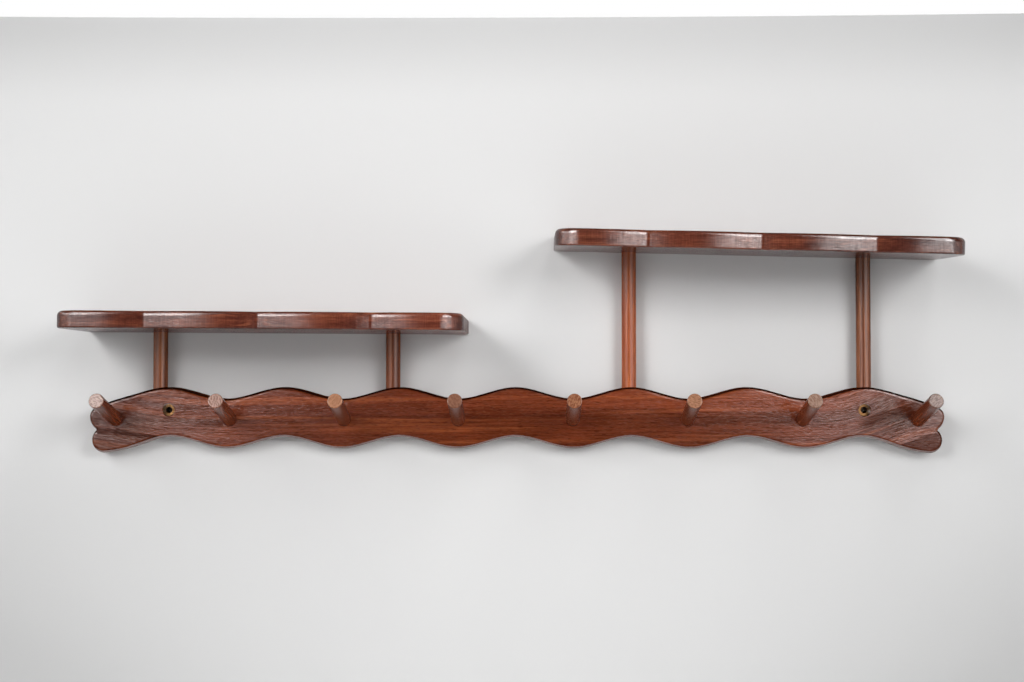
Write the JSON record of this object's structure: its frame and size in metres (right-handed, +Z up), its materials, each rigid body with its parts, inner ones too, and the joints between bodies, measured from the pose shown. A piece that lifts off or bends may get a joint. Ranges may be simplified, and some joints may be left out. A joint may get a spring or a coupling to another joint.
{
  "type": "shaker peg rail with shelves",
  "caption": "Wall-hung shaker peg rail: a wavy board with lobed ends and round upward-tilted pegs, carrying small wavy-fronted shelves on dowel posts at different heights.",
  "frame": {"origin": "on the wall plane, midway between the two screw holes of the rail", "axes": "+X to the right along the rail, +Z up, the wall is the plane Y = 0 and the object stands out from it towards -Y"},
  "size_m": [0.7548, 0.1139, 0.1926],
  "materials": {
    "rail_wood": "red-brown stain under satin lacquer",
    "shelf_wood": "red-brown stain under satin lacquer",
    "post_wood": "red-brown stain under satin lacquer",
    "peg_wood": "red-brown stain under satin lacquer"
  },
  "bodies": {
    "root": {"wall_rail": "rail_wood", "lower_shelf": "shelf_wood", "upper_shelf": "shelf_wood", "lower_post_left": "post_wood", "lower_post_right": "post_wood", "upper_post_left": "post_wood", "upper_post_right": "post_wood", "peg_1": "peg_wood", "peg_2": "peg_wood", "peg_3": "peg_wood", "peg_4": "peg_wood", "peg_5": "peg_wood", "peg_6": "peg_wood", "peg_7": "peg_wood", "peg_8": "peg_wood"}
  },
  "joints": []
}
